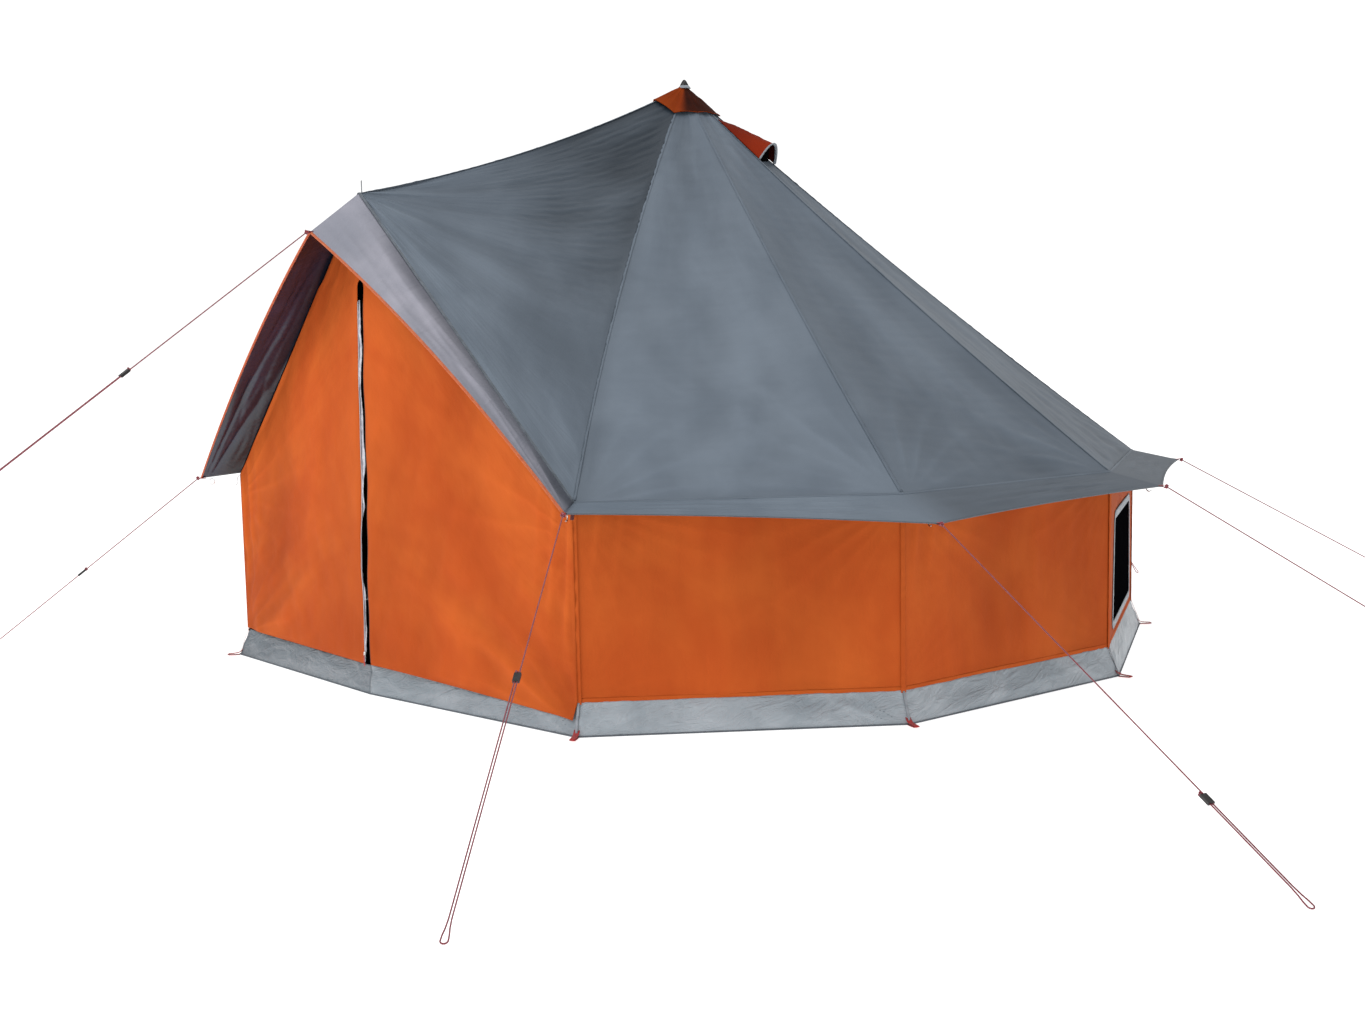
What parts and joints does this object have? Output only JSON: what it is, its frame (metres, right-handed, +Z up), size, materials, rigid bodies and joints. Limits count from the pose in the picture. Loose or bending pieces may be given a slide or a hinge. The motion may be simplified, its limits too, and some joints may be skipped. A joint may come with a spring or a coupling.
{
  "type": "tipi tent",
  "caption": "Family tipi tent with a centre pole, a gabled zip door under an awning, short upright walls, a tub floor, a vent hood and guy ropes with tensioners.",
  "frame": {"origin": "on the ground under the centre pole, on the underside of the groundsheet", "axes": "+Z up, -Y out of the door, +X to the right of someone who looks in at the door"},
  "size_m": [7.5072, 6.9371, 2.922],
  "materials": {
    "wall_fabric": "coated polyester, matte",
    "roof_fabric": "coated polyester, slight sheen",
    "cap_fabric": "coated polyester, matte",
    "tarpaulin": "woven polyethylene, satin",
    "window_gauze": "fine mesh",
    "pole_steel": "galvanised",
    "zip_metal": "lacquered",
    "guy_rope": "braided, red with white flecks",
    "black_plastic": "moulded"
  },
  "bodies": {
    "tent": {"groundsheet": "tarpaulin", "tub_skirt": "tarpaulin", "wall_right_1": "wall_fabric", "wall_right_2": "wall_fabric", "wall_right_3": "wall_fabric", "window_mesh_right_3": "window_gauze", "wall_right_4": "wall_fabric", "wall_left_1": "wall_fabric", "wall_left_2": "wall_fabric", "wall_left_3": "wall_fabric", "window_mesh_left_3": "window_gauze", "wall_left_4": "wall_fabric", "wall_back": "wall_fabric", "front_wall_right": "wall_fabric", "front_wall_left": "wall_fabric", "roof_gore_front_right": "roof_fabric", "roof_gore_right_1": "roof_fabric", "roof_gore_right_2": "roof_fabric", "roof_gore_right_3": "roof_fabric", "roof_gore_right_4": "roof_fabric", "roof_gore_front_left": "roof_fabric", "roof_gore_left_1": "roof_fabric", "roof_gore_left_2": "roof_fabric", "roof_gore_left_3": "roof_fabric", "roof_gore_left_4": "roof_fabric", "roof_gore_back": "roof_fabric", "eave_valance": "roof_fabric", "awning_right": "roof_fabric", "awning_left": "roof_fabric", "roof_cap": "cap_fabric", "vent_hood": "cap_fabric", "centre_pole_lower": "pole_steel", "centre_pole_upper": "pole_steel", "front_pole_lower": "pole_steel", "front_pole_upper": "pole_steel", "guy_rope_porch": "guy_rope", "guy_rope_right_1": "guy_rope", "guy_rope_right_2": "guy_rope", "guy_rope_right_3": "guy_rope", "guy_rope_right_4": "guy_rope", "guy_rope_right_5": "guy_rope", "guy_rope_left_1": "guy_rope", "guy_rope_left_2": "guy_rope", "guy_rope_left_3": "guy_rope", "guy_rope_left_4": "guy_rope", "guy_rope_left_5": "guy_rope"},
    "left_door": {"door_left": "wall_fabric"},
    "right_door": {"door_right": "wall_fabric"},
    "zip_pull": {"zip_slider": "zip_metal"},
    "tensioner_porch_body": {"tensioner_porch": "black_plastic"},
    "tensioner_right_1_body": {"tensioner_right_1": "black_plastic"},
    "tensioner_right_2_body": {"tensioner_right_2": "black_plastic"},
    "tensioner_right_3_body": {"tensioner_right_3": "black_plastic"},
    "tensioner_right_4_body": {"tensioner_right_4": "black_plastic"},
    "tensioner_right_5_body": {"tensioner_right_5": "black_plastic"},
    "tensioner_left_1_body": {"tensioner_left_1": "black_plastic"},
    "tensioner_left_2_body": {"tensioner_left_2": "black_plastic"},
    "tensioner_left_3_body": {"tensioner_left_3": "black_plastic"},
    "tensioner_left_4_body": {"tensioner_left_4": "black_plastic"},
    "tensioner_left_5_body": {"tensioner_left_5": "black_plastic"}
  },
  "joints": [
    {"name": "right_door_fold", "type": "hinge", "parent": "tent", "child": "right_door", "pos_m": [1.235, -2.00836, 0.142], "axis": [-0.582, -0.0325, 0.8125], "range_deg": [0, 95]},
    {"name": "left_door_fold", "type": "hinge", "parent": "tent", "child": "left_door", "pos_m": [-1.235, -2.00836, 0.142], "axis": [-0.582, 0.0325, -0.8125], "range_deg": [0, 95]},
    {"name": "zip_travel", "type": "slide", "parent": "left_door", "child": "zip_pull", "axis": [0, 0.0252, 0.9997], "range_m": [0, 1.62]},
    {"name": "tensioner_porch_travel", "type": "slide", "parent": "tent", "child": "tensioner_porch_body", "axis": [0, -0.8291, -0.5591], "range_m": [0, 0.5]},
    {"name": "tensioner_right_1_travel", "type": "slide", "parent": "tent", "child": "tensioner_right_1_body", "axis": [0.5714, -0.7056, -0.419], "range_m": [0, 0.9]},
    {"name": "tensioner_right_2_travel", "type": "slide", "parent": "tent", "child": "tensioner_right_2_body", "axis": [0.8375, -0.3825, -0.3904], "range_m": [0, 0.3]},
    {"name": "tensioner_right_3_travel", "type": "slide", "parent": "tent", "child": "tensioner_right_3_body", "axis": [0.8668, 0.1246, -0.4828], "range_m": [0, 0.27]},
    {"name": "tensioner_right_4_travel", "type": "slide", "parent": "tent", "child": "tensioner_right_4_body", "axis": [0.6619, 0.5735, -0.4828], "range_m": [0, 0.27]},
    {"name": "tensioner_right_5_travel", "type": "slide", "parent": "tent", "child": "tensioner_right_5_body", "axis": [0.1751, 0.5965, -0.7833], "range_m": [0, 0.3]},
    {"name": "tensioner_left_1_travel", "type": "slide", "parent": "tent", "child": "tensioner_left_1_body", "axis": [-0.4531, -0.6471, -0.6132], "range_m": [0, 0.6]},
    {"name": "tensioner_left_2_travel", "type": "slide", "parent": "tent", "child": "tensioner_left_2_body", "axis": [-0.425, 0.0372, -0.9044], "range_m": [0, 0.25]},
    {"name": "tensioner_left_3_travel", "type": "slide", "parent": "tent", "child": "tensioner_left_3_body", "axis": [-0.6153, 0.0885, -0.7833], "range_m": [0, 0.3]},
    {"name": "tensioner_left_4_travel", "type": "slide", "parent": "tent", "child": "tensioner_left_4_body", "axis": [-0.4698, 0.4071, -0.7833], "range_m": [0, 0.3]},
    {"name": "tensioner_left_5_travel", "type": "slide", "parent": "tent", "child": "tensioner_left_5_body", "axis": [-0.1751, 0.5965, -0.7833], "range_m": [0, 0.3]}
  ]
}
